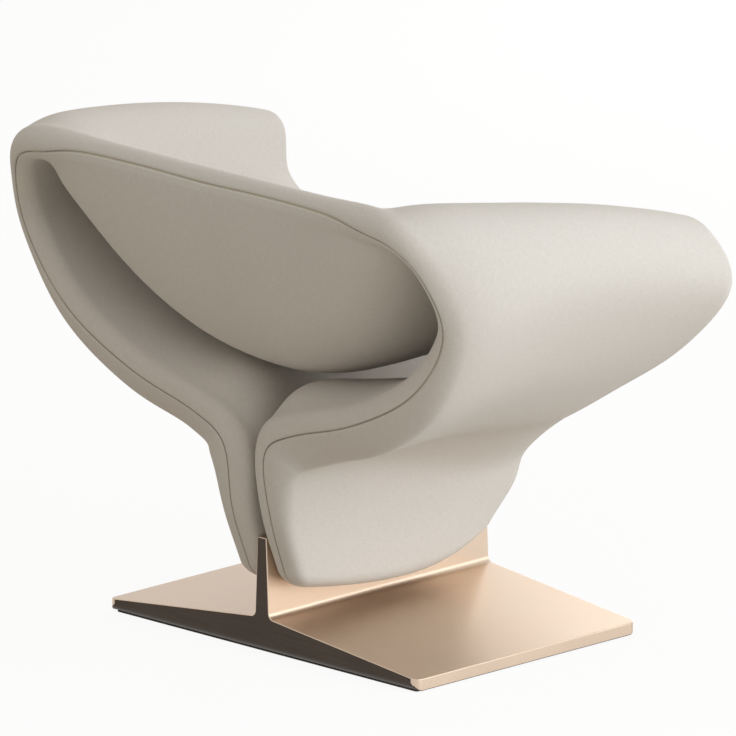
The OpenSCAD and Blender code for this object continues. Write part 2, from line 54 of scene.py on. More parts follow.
# Middle layer of the ribbon in millimetres, from the left hem to the middle of the seat
REAR_RIM = (
    (36, 190, 120), (39, 220, 210), (45, 236, 312), (112, 240, 352), (230, 243, 388),
    (350, 246, 455), (422, 256, 560), (412, 288, 647), (374, 315, 694), (310, 321, 706),
    (215, 321, 706), (108, 319, 705), (0, 318, 704),
)
REAR_THIRD = (
    (36, 62, 102), (40, 80, 200), (58, 80, 310), (140, 90, 370), (245, 90, 402),
    (362, 82, 475), (443, 95, 590), (428, 105, 668), (380, 120, 686), (332, 142, 634),
    (234, 186, 527), (112, 208, 478), (0, 210, 466),
)
FRONT_THIRD = (
    (36, -66, 100), (40, -75, 180), (58, -80, 260), (135, -80, 325), (235, -80, 368),
    (360, -84, 458), (450, -80, 574), (436, -80, 645), (394, -72, 654), (358, -50, 588),
    (252, -10, 508), (115, 5, 448), (0, 10, 416),
)
FRONT_RIM = (
    (36, -168, 124), (40, -212, 180), (52, -224, 238), (115, -232, 300), (215, -236, 360),
    (359, -240, 446), (456, -238, 543), (438, -212, 615), (402, -197, 617), (382, -190, 545),
    (304, -213, 480), (130, -250, 444), (0, -265, 432),
)

# Padding in millimetres at each station, on the ribbon's outer and inner side
OUTER_REAR_PAD = (28, 28, 52, 62, 56, 40, 25, 21, 28, 28, 27, 27, 27)
OUTER_FRONT_PAD = (24, 24, 26, 27, 27, 24, 18, 18, 18, 20, 25, 27, 27)
INNER_REAR_PAD = (24, 29, 38, 33, 30, 31, 24, 20, 20, 24, 23, 26, 26)
INNER_FRONT_PAD = (24, 24, 26, 27, 31, 28, 20, 17, 17, 19, 21, 26, 26)

# How far the rear seam lies round the rim towards the inner side, in degrees
SEAM_STATIONS = (0, 1.7, 2.2, 3, 4, 5, 6, 7, 8, 9, 10, 12)
SEAM_TURNS = (0, 0, 5, 12, 12, 5, -8, 0, 20, 45, 55, 60)

# Station in the middle of the seat, where the ribbon's two halves meet
HALF_WAY = len(REAR_RIM) - 1

# Easing along the ribbon, in stations: how far it looks each way, samples and spread
ROW_EASE = (0.45, 13, 0.15)
LIST_SAMPLES = 15

# Station and spread of the legs' squarer rims
LEG_SQUARE = (0.6, 1.1)

# Extra padding by the rear rim: station and spread of each, and where across it peaks
NECK_SWELL = (2.45, 0.55)
CORNER_OUTER_SWELL = (8.6, 1.0)
CORNER_INNER_SWELL = (9.15, 0.75)
SWELL_PEAK = 0.14

# Rolls along the rear rim: station, spread and the share across where each is deepest
FLARE_ROLL = (3.0, 1.5, 0.3)
ARM_ROLL = (6.4, 1.5, 0.12)
BACK_ROLL = (12, 2.6, 0.14)

# Fabric stretched over the hollow bend outside each neck: station, spread and reach
SPAN_STATION = 2.2
SPAN_SPREAD = 0.9
SPAN_REACH = 0.45

# Stations where the foam is divided, and where its pocket for the tubes starts
LEG_END = 2.5
ARM_END = 9.0
POCKET_START = 0.2

# Rows that round off a hem, in degrees, and the foam's faces across and round each rim
HEM_ANGLES = (90, 88, 85, 80, 72, 60, 45, 28, 12)
FOAM_ACROSS = 20
FOAM_ROUND_RIM = 10

# Places of the clamp bolts in metres
BOLT_YS = (-0.102, 0.008, 0.118)
BOLT_Z = 0.143

# Distance and half width of the fabric's lips beside a seam
LIP_PLACE = 4.5 * MM
LIP_WIDTH = 1.8 * MM

WELD = 0.02 * MM
FLOOR_RADIUS = 14
LAMP_AIM = (0, 0, 0.4)
# The fabric's material reads the panels' own map by this name
CLOTH_MAP = "UVMap"


class ChairRibbonSizes(bpy.types.PropertyGroup):
    rim_reach: FloatProperty(
        name="Rim Reach", description="How far the padding goes past the frame at the rims",
        default=24 * MM, min=0, unit="LENGTH")
    cover_thickness: FloatProperty(
        name="Fabric Thickness", description="Thickness of the fabric panels",
        default=1.5 * MM, min=0.0002, unit="LENGTH")
    foam_clear: FloatProperty(
        name="Foam Clearance", description="Distance from the fabric's face to the foam",
        default=1.8 * MM, min=0, unit="LENGTH")
    pocket_half: FloatProperty(
        name="Pocket Half Height", description="Half the height of the pocket for the tubes",
        default=10.5 * MM, min=0.001, unit="LENGTH")
    neck_pad: FloatProperty(
        name="Neck Padding", description="Extra padding where the legs bend into the arms",
        default=22 * MM, min=0, unit="LENGTH")
    roll_pad: FloatProperty(
        name="Roll Padding", description="Extra padding under the arms, behind the legs",
        default=14 * MM, min=0, unit="LENGTH")
    leg_square: FloatProperty(
        name="Leg Squareness", description="How much squarer than a circle the legs' rims are",
        default=0.3, min=0, max=0.8)
    rim_roll: FloatProperty(
        name="Rim Roll", description="Extra padding behind the rear rim of arms and back",
        default=8 * MM, min=0, unit="LENGTH")
    corner_pad: FloatProperty(
        name="Corner Padding", description="Extra padding where the arms meet the back",
        default=19 * MM, min=0, unit="LENGTH")
    seam_depth: FloatProperty(
        name="Seam Depth", description="Depth of the groove at the seams",
        default=2.2 * MM, min=0, unit="LENGTH")
    seam_width: FloatProperty(
        name="Seam Width", description="Half width of the groove at the seams",
        default=1.3 * MM, min=0.0002, unit="LENGTH")
    seam_lip: FloatProperty(
        name="Seam Lip", description="Height of the fabric's lips beside the seams",
        default=0.35 * MM, min=0, unit="LENGTH")
    seam_allowance: FloatProperty(
        name="Seam Allowance", description="Width of fabric turned in at the seams",
        default=4 * MM, min=0, unit="LENGTH")
    length_parts: IntProperty(
        name="Parts Along", description="Faces along half of the ribbon", default=186, min=20)
    face_parts: IntProperty(
        name="Parts Across", description="Faces across the ribbon", default=62, min=8)
    rim_parts: IntProperty(
        name="Parts Round Rim", description="Faces round each rim", default=14, min=3)


class ChairPedestalSizes(bpy.types.PropertyGroup):
    width: FloatProperty(
        name="Width", description="Plate size along X", default=622 * MM, unit="LENGTH")
    depth: FloatProperty(
        name="Depth", description="Plate size along Y", default=444 * MM, unit="LENGTH")
    underside: FloatProperty(
        name="Underside", description="Height of the plate's underside, on its soft pad",
        default=2 * MM, unit="LENGTH")
    edge: FloatProperty(
        name="Edge", description="Plate thickness at its outer edges", default=18 * MM,
        unit="LENGTH")
    root: FloatProperty(
        name="Root", description="Plate thickness at the fin", default=50 * MM, unit="LENGTH")
    fin_height: FloatProperty(
        name="Fin Height", description="Top of the fin above the underside", default=168 * MM,
        unit="LENGTH")
    fin_top: FloatProperty(
        name="Fin Top", description="Fin thickness at its top", default=18 * MM, unit="LENGTH")
    fin_foot: FloatProperty(
        name="Fin Foot", description="Fin thickness at its foot", default=28 * MM,
        unit="LENGTH")
    fillet: FloatProperty(
        name="Fillet", description="Radius between fin and plate", default=9 * MM,
        unit="LENGTH")
    corner: FloatProperty(
        name="Corner", description="Radius of the plate's corners", default=12 * MM,
        unit="LENGTH")
    bevel: FloatProperty(
        name="Bevel", description="Width of the broken edges", default=1.3 * MM,
        unit="LENGTH")
    bolt_hole: FloatProperty(
        name="Bolt Hole", description="Diameter of the holes for the clamp bolts",
        default=8.6 * MM, unit="LENGTH")


class ChairFinishes(bpy.types.PropertyGroup):
    fabric: FloatVectorProperty(
        name="Fabric", description="Colour of the fabric's raised yarns", subtype="COLOR",
        size=3, min=0, max=1, default=(0.745, 0.722, 0.688))
    fabric_low: FloatVectorProperty(
        name="Fabric Gaps", description="Colour between the fabric's yarns", subtype="COLOR",
        size=3, min=0, max=1, default=(0.648, 0.626, 0.594))
    # Seam colour: painted shade for the grooves at the seams, mixed into the fabric near each
    # seam.
    seam: FloatVectorProperty(
        name="Seam", description="Colour in the groove of the seams", subtype="COLOR",
        size=3, min=0, max=1, default=(0.09, 0.075, 0.055))
    metal: FloatVectorProperty(
        name="Plate Metal", description="Colour of the brushed plate and fin",
        subtype="COLOR", size=3, min=0, max=1, default=(0.66, 0.52, 0.4))
    # End colour: painted shade, a darker copy of the plate metal for the ends and the
    # underside.
    metal_end_shade: FloatVectorProperty(
        name="End Metal", description="Colour of the dark ends of the plate and fin",
        subtype="COLOR", size=3, min=0, max=1, default=(0.075, 0.058, 0.045))
    steel: FloatVectorProperty(
        name="Frame Steel", description="Colour of the painted frame tubes", subtype="COLOR",
        size=3, min=0, max=1, default=(0.09, 0.095, 0.10))
    zinc: FloatVectorProperty(
        name="Zinc", description="Colour of the plated bolts and sleeves", subtype="COLOR",
        size=3, min=0, max=1, default=(0.58, 0.60, 0.62))
    webbing: FloatVectorProperty(
        name="Webbing", description="Colour of the elastic straps", subtype="COLOR",
        size=3, min=0, max=1, default=(0.035, 0.034, 0.032))
    foam: FloatVectorProperty(
        name="Foam", description="Colour of the moulded foam", subtype="COLOR",
        size=3, min=0, max=1, default=(0.78, 0.70, 0.48))
    felt: FloatVectorProperty(
        name="Felt", description="Colour of the pad under the plate", subtype="COLOR",
        size=3, min=0, max=1, default=(0.05, 0.047, 0.043))


class ChairStageSettings(bpy.types.PropertyGroup):
    azimuth: FloatProperty(
        name="Azimuth", description="Camera direction round the chair", subtype="ANGLE",
        default=math.radians(225))
    elevation: FloatProperty(
        name="Elevation", description="Camera height over the horizon", subtype="ANGLE",
        default=math.radians(15))
    view_width: FloatProperty(
        name="View Width", description="Width of the picture at the chair", default=1.0514,
        unit="LENGTH")
    view_up: FloatProperty(
        name="View Up", description="Picture's middle over the origin, along the picture",
        default=0.3644, unit="LENGTH")
    view_right: FloatProperty(
        name="View Right", description="Picture's middle to the right of the origin",
        default=-0.006, unit="LENGTH")
    lens: FloatProperty(
        name="Lens", description="Focal length in millimetres", default=1500, min=50)
    key_power: FloatProperty(
        name="Key Power", description="Power of the low lamp on the right in watts",
        default=138, min=0)
    side_power: FloatProperty(
        name="Side Power", description="Power of the lamp right of the camera in watts",
        default=18, min=0)
    top_power: FloatProperty(
        name="Top Power", description="Power of the lamp overhead in watts", default=10,
        min=0)
    back_power: FloatProperty(
        name="Back Power", description="Power of the lamp high behind the chair in watts",
        default=11, min=0)
    front_power: FloatProperty(
        name="Front Power", description="Power of the lamp in front of the chair in watts",
        default=40, min=0)
    sky_level: FloatProperty(
        name="Sky Level", description="Strength of the even light from all round",
        default=0.5, min=0)
    sky_colour: FloatVectorProperty(
        name="Sky Colour", description="Colour of the even light from all round",
        subtype="COLOR", size=3, min=0, max=1, default=(1, 0.885, 0.75))
    floor_white: FloatProperty(
        name="Floor White", description="Share of plain white in the floor's picture",
        default=0.92, min=0, max=1)
    floor_colour: FloatVectorProperty(
        name="Floor Colour", description="Colour with which the floor throws light back",
        subtype="COLOR", size=3, min=0, max=1, default=(0.58, 0.545, 0.49))


GROUPS = (
    ("chair_ribbon", ChairRibbonSizes),
    ("chair_pedestal", ChairPedestalSizes),
    ("chair_finishes", ChairFinishes),
    ("chair_stage", ChairStageSettings),
)


# Shape of the ribbon

def bell(places, spread):
    """Weights of a bell curve that add up to one."""
    weights = np.exp(-0.5 * (places / spread) ** 2)
    return weights / weights.sum()


def whole_row(row):
    """Stations from the left hem to the right hem, gone on straight past both."""
    half = np.array(row, float) * MM
    whole = np.vstack([half, half[-2::-1] * (-1, 1, 1)])
    steps = np.arange(3, 0, -1)[:, None]
    lead = whole[0] + (whole[0] - whole[1]) * steps
    tail = whole[-1] + (whole[-1] - whole[-2]) * steps[::-1]
    return np.vstack([lead, whole, tail])


def along(row, us):
    """Smooth curve through a row's stations, lightly eased."""
    points = whole_row(row)
    reach, samples, spread = ROW_EASE
    shifts = np.linspace(-reach, reach, samples)
    total = 0
    for shift, weight in zip(shifts, bell(shifts, spread)):
        place = us + shift + 3
        i = np.clip(np.floor(place).astype(int), 1, len(points) - 3)
        f = (place - i)[:, None]
        a, b, c, d = points[i - 1], points[i], points[i + 1], points[i + 2]
        total = total + weight * 0.5 * (
            2 * b + (c - a) * f + (2 * a - 5 * b + 4 * c - d) * f**2
            + (3 * b - a - 3 * c + d) * f**3)
    return total


def listed(numbers, us, stations=None, spread=0.4):
    """Value of a list of numbers at each place, mirrored past the middle of the seat."""
    stations = range(len(numbers)) if stations is None else stations
    shifts = np.linspace(-2.5 * spread, 2.5 * spread, LIST_SAMPLES)
    total = 0
    for shift, weight in zip(shifts, bell(shifts, spread)):
        place = HALF_WAY - np.abs(us + shift - HALF_WAY)
        total = total + weight * np.interp(place, stations, numbers)
    return total


def middle(us, vs):
    """Middle layer at places us along the ribbon and shares vs across it."""
    a, b, c = vs - 1 / 3, vs - 2 / 3, vs - 1
    shares = (-4.5 * a * b * c, 13.5 * vs * b * c, -13.5 * vs * a * c, 4.5 * vs * a * b)
    rows = (REAR_RIM, REAR_THIRD, FRONT_THIRD, FRONT_RIM)
    return sum(along(row, us)[:, None] * share[None, :, None]
               for row, share in zip(rows, shares))


def unit(vectors):
    return vectors / np.linalg.norm(vectors, axis=-1, keepdims=True)


def directions(us, vs, step=0.01):
    """Unit vectors along the ribbon, across it and out of it."""
    lengthwise = unit(middle(us + step, vs) - middle(us - step, vs))
    crosswise = unit(middle(us, vs + step) - middle(us, vs - step))
    return lengthwise, crosswise, unit(np.cross(lengthwise, crosswise))


def bump(us, centre, spread):
    """Swell round one station, on both halves of the ribbon."""
    place = HALF_WAY - np.abs(us - HALF_WAY)
    return np.exp(-(((place - centre) / spread) ** 2))[:, None]


def depths(us, vs, sizes):
    """Padding on the outer and on the inner side."""
    rear = ((1 - vs) ** 2.5 * (1 + 2.5 * vs))[None]
    reach = vs / SWELL_PEAK
    near_rear = (reach**2 * np.exp(2 - 2 * reach))[None]

    def mixed(rear_pad, front_pad):
        return MM * (listed(rear_pad, us)[:, None] * rear
                     + listed(front_pad, us)[:, None] * (1 - rear))

    flare_roll, arm_roll, back_roll = [
        bump(us, *place[:2]) * (vs / place[2] * np.exp(1 - vs / place[2]))[None]
        for place in (FLARE_ROLL, ARM_ROLL, BACK_ROLL)]
    outer = (mixed(OUTER_REAR_PAD, OUTER_FRONT_PAD)
             + sizes.roll_pad * flare_roll + sizes.rim_roll * arm_roll
             + 0.5 * sizes.corner_pad * bump(us, *CORNER_OUTER_SWELL) * near_rear)
    inner = (mixed(INNER_REAR_PAD, INNER_FRONT_PAD) + sizes.rim_roll * back_roll
             + sizes.neck_pad * bump(us, *NECK_SWELL) * near_rear
             + sizes.corner_pad * bump(us, *CORNER_INNER_SWELL) * near_rear)
    return outer, inner


def rear_seam(us):
    """Angle of the rear seam round the rim, from the outer side."""
    return 90 + listed(SEAM_TURNS, us, SEAM_STATIONS, 0.3)


def section_turns(us, parts_face, parts_rim, side):
    """Shares across, rim sides and angles of one panel's or one pad's section."""
    t = np.linspace(0, 1, parts_rim + 1)
    face_t = np.linspace(0, 1, parts_face + 1)
    eased = 0.5 * face_t + 0.25 * (1 - np.cos(math.pi * face_t))
    near_seam = t**1.5
    ones = np.ones((len(us), 1))
    rear = rear_seam(us)[:, None]
    zeros = np.zeros_like(t)
    if side == "outer":
        vs = np.concatenate([zeros[:-1], eased, zeros[1:] + 1])
        angles = np.hstack([rear * (1 - near_seam[:-1]), ones * 0 * eased,
                            ones * 90 * (1 - near_seam[-2::-1])])
    elif side == "inner":
        vs = np.concatenate([zeros[:-1] + 1, eased[::-1], zeros[1:]])
        angles = np.hstack([ones * (90 + 90 * near_seam[:-1]), ones * (0 * eased + 180),
                            rear + (180 - rear) * near_seam[-2::-1]])
    else:
        vs = np.concatenate([eased, zeros[1:-1] + 1, eased[::-1], zeros[1:]])
        angles = ones * np.concatenate(
            [0 * eased, 180 * t[1:-1], 0 * eased + 180, 180 * (1 - t[1:])])
    return vs, np.radians(angles)


def tight_skin(us, vs, angles, sizes, inset):
    """Base points on the middle layer and points one padding depth away from it."""
    base = middle(us, vs)
    _, crosswise, outward = directions(us, vs)
    outer, inner = depths(us, vs, sizes)
    depth = np.where(np.cos(angles) > 0, outer, inner) - inset
    past = np.where(vs < 0.5, -1, 1)[None] * (sizes.rim_reach - inset)
    # The legs' rims are squarer than a circle
    power = 1 - sizes.leg_square * bump(us, *LEG_SQUARE)
    over = np.sign(np.cos(angles)) * np.abs(np.cos(angles)) ** power
    round_rim = np.abs(np.sin(angles)) ** power
    # The rear rim goes on with the slope of the rolls
    widths = np.linalg.norm(middle(us, np.array([1.0])) - middle(us, np.array([0.0])), axis=-1)
    flare, arm, back = [size * bump(us, *place[:2]) * math.e / (place[2] * widths)
                        for size, place in ((sizes.roll_pad, FLARE_ROLL),
                                            (sizes.rim_roll, ARM_ROLL),
                                            (sizes.rim_roll, BACK_ROLL))]
    slope = ((flare + arm) * np.maximum(np.cos(angles), 0)
             - back * np.maximum(-np.cos(angles), 0))
    tilt = slope * past * np.sin(angles) * (vs < 0.5)[None]
    return base, (base + outward * (depth * over + tilt)[..., None]
                  + crosswise * (past * round_rim)[..., None])


def skin(us, vs, angles, sizes, inset=0.0):
    """Base points and points of the skin, which spans the hollow bend outside each neck."""
    base, tight = tight_skin(us, vs, angles, sizes, inset)
    across = np.minimum(1, 0.7 + vs) * (1 - vs**3) ** 2
    share = bump(us, SPAN_STATION, SPAN_SPREAD) * across[None] * np.maximum(np.cos(angles), 0)
    shifts = np.linspace(-2, 2, 17)
    spanned = sum(weight * tight_skin(us + shift * SPAN_REACH, vs, angles, sizes, inset)[1]
                  for shift, weight in zip(shifts, bell(shifts, 1)))
    return base, tight + share[..., None] * (spanned - tight)


def hem_rows(base, points, lengthwise, reach, angles):
    """Rows that round off a hem: the first row drawn in towards the middle layer."""
    rows = []
    for angle in np.radians(angles):
        rows.append(base + (points - base) * math.cos(angle)
                    - lengthwise * reach * math.sin(angle))
    return np.array(rows)


def even_places(start, end, parts):
    """Places along the ribbon at even distances."""
    fine = np.linspace(start, end, 2400)
    line = middle(fine, np.array([0.0, 0.5, 1.0]))
    steps = np.linalg.norm(np.diff(line, axis=0), axis=-1).mean(axis=1)
    run = np.concatenate([[0], np.cumsum(steps)])
    return np.interp(np.linspace(0, run[-1], parts + 1), run, fine)


def run_lengths(points, axis):
    """Distance along an axis of a grid of points, from its start."""
    steps = np.linalg.norm(np.diff(points, axis=axis), axis=-1)
    pad = [(0, 0), (0, 0)]
    pad[axis] = (1, 0)
    return np.pad(np.cumsum(steps, axis=axis), pad)


# Meshes

def grid_mesh(bm, points, uvs=None, seam=None):
    """A grid whose vertices are moved onto the given surface points."""
    rows, columns = points.shape[:2]
    made = bmesh.ops.create_grid(
        bm, x_segments=rows - 1, y_segments=columns - 1, size=0.5,
        calc_uvs=False)["verts"]
    uv_layer = None
    if uvs is not None:
        uv_layers = bm.loops.layers.uv
        uv_layer = uv_layers.get(CLOTH_MAP) or uv_layers.new(CLOTH_MAP)
    seam_layer = bm.verts.layers.float.get("seam") if seam is not None else None
    place = {}
    for vert in made:
        i = round((vert.co.x + 0.5) * (rows - 1))
        j = round((vert.co.y + 0.5) * (columns - 1))
        place[vert] = (i, j)
        vert.co = points[i, j]
        if seam_layer is not None:
            vert[seam_layer] = seam[i, j]
    if uv_layer is not None:
        for vert in made:
            i, j = place[vert]
            for loop in vert.link_loops:
                loop[uv_layer].uv = uvs[i, j]
    return made


def new_piece(name, bm, material, smooth=True):
    """Object at the origin from a bmesh, riding on the chair's one body."""
    mesh = bpy.data.meshes.new(name)
    bm.to_mesh(mesh)
    bm.free()
    mesh.polygons.foreach_set("use_smooth", [smooth] * len(mesh.polygons))
    piece = bpy.data.objects.new(name, mesh)
    bpy.context.scene.collection.objects.link(piece)
    for one in material if isinstance(material, tuple) else (material,):
        mesh.materials.append(one)
    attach(piece, "root")
    return piece


def fabric_panel(side, sizes):
    """One fabric panel from hem to hem, with its edges turned in at the seams."""
    half = even_places(0, HALF_WAY, sizes.length_parts)
    us = np.concatenate([half, 2 * HALF_WAY - half[-2::-1]])
    vs, angles = section_turns(us, sizes.face_parts, sizes.rim_parts, side)
    base, points = skin(us, vs, angles, sizes)
    lengthwise = directions(us[[0, -1]], vs)[0]
    first = hem_rows(base[0], points[0], lengthwise[0], sizes.rim_reach, HEM_ANGLES)
    last = hem_rows(base[-1], points[-1], -lengthwise[1], sizes.rim_reach, HEM_ANGLES)
    hems = len(HEM_ANGLES)
    points = np.concatenate([first, points, last[::-1]])
    base = np.concatenate([base[:1].repeat(hems, 0), base, base[-1:].repeat(hems, 0)])

    across = run_lengths(points, 1)
    lengths = run_lengths(points, 0)
    gap = np.minimum(across, across[:, -1:] - across)
    gap = np.minimum(gap, np.minimum(lengths, lengths[-1:] - lengths))
    groove = (sizes.seam_depth * np.exp(-((gap / sizes.seam_width) ** 2))
              - sizes.seam_lip * np.exp(-(((gap - LIP_PLACE) / LIP_WIDTH) ** 2)))
    away = unit(points - base)
    points = points - away * groove[..., None]

    turned = points - away * sizes.seam_allowance
    points = np.hstack([turned[:, :1], points, turned[:, -1:]])
    ends = np.hstack([turned[:, :1], turned, turned[:, -1:]])
    points = np.concatenate([ends[:1], points, ends[-1:]])
    gap = np.pad(gap, 1, constant_values=-sizes.seam_allowance)

    run = np.pad(lengths[:, lengths.shape[1] // 2], 1, mode="edge")
    half_across = across[:, across.shape[1] // 2]
    width = np.pad(across - half_across[:, None], 1, mode="edge")
    uvs = np.stack([np.broadcast_to(run[:, None], width.shape), width], axis=-1)

    bm = bmesh.new()
    # Distance from the seams, by which the cloth's material paints shade into the seam
    # grooves.
    bm.verts.layers.float.new("seam")
    grid_mesh(bm, points, uvs, gap)
    bmesh.ops.remove_doubles(bm, verts=bm.verts, dist=WELD)
    return bm


def thicken(piece, sizes):
    """Gives a panel the fabric's thickness, inwards from its face."""
    modifier = piece.modifiers.new("cloth_thickness", "SOLIDIFY")
    modifier.thickness = sizes.cover_thickness
    modifier.offset = -1
    modifier.use_even_offset = False


def foam_block(us, sizes, hem, pocket_us=None):
    """Moulded foam between two places on the ribbon, with the pocket for the tubes."""
    vs, angles = section_turns(us, FOAM_ACROSS, FOAM_ROUND_RIM, "whole")
    base, points = skin(us, vs, angles, sizes, sizes.foam_clear)
    pocket_us = us if pocket_us is None else pocket_us
    pocket_vs, pocket_angles = section_turns(pocket_us, FOAM_ACROSS, FOAM_ROUND_RIM, "whole")
    pocket_base = middle(pocket_us, pocket_vs)
    lengthwise, _, outward = directions(pocket_us, pocket_vs)
    rimwise = np.cross(outward, lengthwise)
    side = np.where(pocket_vs < 0.5, -1, 1)[None]
    pocket = pocket_base + sizes.pocket_half * (
        outward * np.cos(pocket_angles)[..., None]
        + rimwise * (side * np.sin(pocket_angles))[..., None])
    if hem:
        start = hem_rows(base[0], points[0], directions(us[:1], vs)[0][0],
                         sizes.rim_reach - sizes.foam_clear, HEM_ANGLES)
        points = np.concatenate([start, points])
        pocket = np.concatenate([pocket_base[:1], pocket])
    bm = bmesh.new()
    grid_mesh(bm, points)
    inside = grid_mesh(bm, pocket)
    inside_faces = {face for vert in inside for face in vert.link_faces}
    bmesh.ops.reverse_faces(bm, faces=list(inside_faces))
    bmesh.ops.remove_doubles(bm, verts=bm.verts, dist=WELD)
    bmesh.ops.dissolve_degenerate(bm, edges=bm.edges, dist=0.005 * MM)
    return bm


def open_rims(bm):
    """Each open rim of the skin and the pocket, with its middle point."""
    rims = [edge for edge in bm.edges if edge.is_boundary]
    while rims:
        loop = {rims[0]}
        grown = True
        while grown:
            verts = {vert for edge in loop for vert in edge.verts}
            more = {edge for edge in rims if edge not in loop
                    and any(vert in verts for vert in edge.verts)}
            loop |= more
            grown = bool(more)
        rims = [edge for edge in rims if edge not in loop]
        middle_point = sum((vert.co for edge in loop for vert in edge.verts),
                           Vector()) / (2 * len(loop))
        yield middle_point, loop


def bridge_foam(bm):
    """Bridges the skin's and the pocket's rims that lie round the same middle point."""
    found = list(open_rims(bm))
    while found:
        point, loop = found.pop(0)
        mate = min(found, key=lambda other: (other[0] - point).length)
        found.remove(mate)
        bmesh.ops.bridge_loops(bm, edges=list(loop | mate[1]))
    bmesh.ops.recalc_face_normals(bm, faces=bm.faces)
    return bm


def pedestal_bmesh(sizes):
    """Plate and fin from one T-shaped profile, drawn out along Y, with broken edges."""
    half_width = sizes.width / 2
    low = sizes.underside
    corners = [
        (-half_width, low), (half_width, low), (half_width, low + sizes.edge),
        (sizes.fin_foot / 2, low + sizes.root), (sizes.fin_top / 2, low + sizes.fin_height),
        (-sizes.fin_top / 2, low + sizes.fin_height), (-sizes.fin_foot / 2, low + sizes.root),
        (-half_width, low + sizes.edge)]
    bm = bmesh.new()
    rear = sizes.depth / 2
    face = bm.faces.new([bm.verts.new((x, rear, z)) for x, z in corners])
    drawn = bmesh.ops.extrude_face_region(bm, geom=[face])["geom"]
    moved = [item for item in drawn if isinstance(item, bmesh.types.BMVert)]
    bmesh.ops.translate(bm, verts=moved, vec=(0, -sizes.depth, 0))
    bmesh.ops.recalc_face_normals(bm, faces=bm.faces)

    def edges_at(x, z):
        return [edge for edge in bm.edges
                if all(abs(abs(vert.co.x) - x) < 1e-5 and abs(vert.co.z - z) < 1e-5
                       for vert in edge.verts)]

    lean = math.atan2((sizes.fin_foot - sizes.fin_top) / 2, sizes.fin_height - sizes.root)
    slope = math.atan2(sizes.root - sizes.edge, half_width - sizes.fin_foot / 2)
    back = sizes.fillet * math.tan((math.pi / 2 - lean - slope) / 2)
    bmesh.ops.bevel(
        bm, geom=edges_at(sizes.fin_foot / 2, low + sizes.root), offset=back,
        offset_type="OFFSET", affect="EDGES", segments=8, profile=0.5, material=-1)
    upright = [edge for edge in bm.edges
               if all(abs(abs(vert.co.x) - half_width) < 1e-5 for vert in edge.verts)
               and abs(edge.verts[0].co.y - edge.verts[1].co.y) < 1e-5]
    bmesh.ops.bevel(
        bm, geom=upright, offset=sizes.corner, offset_type="OFFSET", affect="EDGES",
        segments=7, profile=0.5, material=-1)
    sharp = [edge for edge in bm.edges if edge.calc_face_angle(0) > math.radians(35)]
    bmesh.ops.bevel(
        bm, geom=sharp, offset=sizes.bevel, offset_type="OFFSET", affect="EDGES",
        segments=3, profile=0.5, material=-1)
    bmesh.ops.recalc_face_normals(bm, faces=bm.faces)
    return bm


def bolt_bores(diameter, reach):
    """Bars along X at the clamp bolts, for cutting their holes."""
    bm = bmesh.new()
    for y in BOLT_YS:
        turn = Matrix.Translation((0, y, BOLT_Z)) @ Matrix.Rotation(math.pi / 2, 4, "Y")
        bmesh.ops.create_cone(
            bm, cap_ends=True, segments=32, radius1=diameter / 2, radius2=diameter / 2,
            depth=2 * reach, matrix=turn)
    return bm


def cut_bores(piece, diameter, reach):
    """Cuts the bolts' holes and keeps the result as the piece's own mesh."""
    bm = bolt_bores(diameter, reach)
    mesh = bpy.data.meshes.new("bore")
    bm.to_mesh(mesh)
    bm.free()
    cutter = bpy.data.objects.new("bore", mesh)
    bpy.context.scene.collection.objects.link(cutter)
    modifier = piece.modifiers.new("bore", "BOOLEAN")
    modifier.operation = "DIFFERENCE"
    modifier.solver = "EXACT"
    modifier.object = cutter
    graph = bpy.context.evaluated_depsgraph_get()
    result = bpy.data.meshes.new_from_object(piece.evaluated_get(graph))
    piece.modifiers.remove(modifier)
    old = piece.data
    name = old.name
    piece.data = result
    bpy.data.meshes.remove(old)
    result.name = name
    bpy.data.objects.remove(cutter)
    bpy.data.meshes.remove(mesh)


# Materials

def new_material(name):
    """Material with an empty node tree, its shader and its output."""
    material = bpy.data.materials.new(name)
    material.use_nodes = True
    tree = material.node_tree
    tree.nodes.clear()
    output = tree.nodes.new("ShaderNodeOutputMaterial")
    shader = tree.nodes.new("ShaderNodeBsdfPrincipled")
    tree.links.new(shader.outputs["BSDF"], output.inputs["Surface"])
    return material, tree, shader


def node(tree, kind, **values):
    """New node with its settings and its inputs' values, named or numbered."""
    made = tree.nodes.new(kind)
    for key, value in values.items():
        if key.startswith("in_"):
            name = key[3:]
            socket = made.inputs[int(name) if name.isdigit() else name.replace("_", " ")]
            socket.default_value = value
        else:
            setattr(made, key, value)
    return made


def coloured(colour):
    return (*colour, 1)


def ramp(tree, factor, low, high, low_colour, high_colour):
    """Two-colour ramp on a factor."""
    made = tree.nodes.new("ShaderNodeValToRGB")
    made.color_ramp.elements[0].position = low
    made.color_ramp.elements[0].color = coloured(low_colour)
    made.color_ramp.elements[1].position = high
    made.color_ramp.elements[1].color = coloured(high_colour)
    tree.links.new(factor, made.inputs["Fac"])
    return made.outputs["Color"]


def object_place(tree, scale):
    """Object coordinates, scaled along each axis."""
    place = tree.nodes.new("ShaderNodeTexCoord")
    mapping = node(tree, "ShaderNodeMapping", in_Scale=scale)
    tree.links.new(place.outputs["Object"], mapping.inputs["Vector"])
    return mapping.outputs["Vector"]


def noise(tree, vector, scale, detail, roughness):
    """Noise texture's factor."""
    made = node(tree, "ShaderNodeTexNoise", in_Scale=scale, in_Detail=detail,
                in_Roughness=roughness)
    tree.links.new(vector, made.inputs["Vector"])
    return made.outputs["Fac"]


def math_node(tree, operation, first, second=None, clamp=False):
    made = node(tree, "ShaderNodeMath", operation=operation, use_clamp=clamp)
    for index, value in enumerate((first, second)):
        if value is None:
            continue
        if isinstance(value, (int, float)):
            made.inputs[index].default_value = value
        else:
            tree.links.new(value, made.inputs[index])
    return made.outputs["Value"]


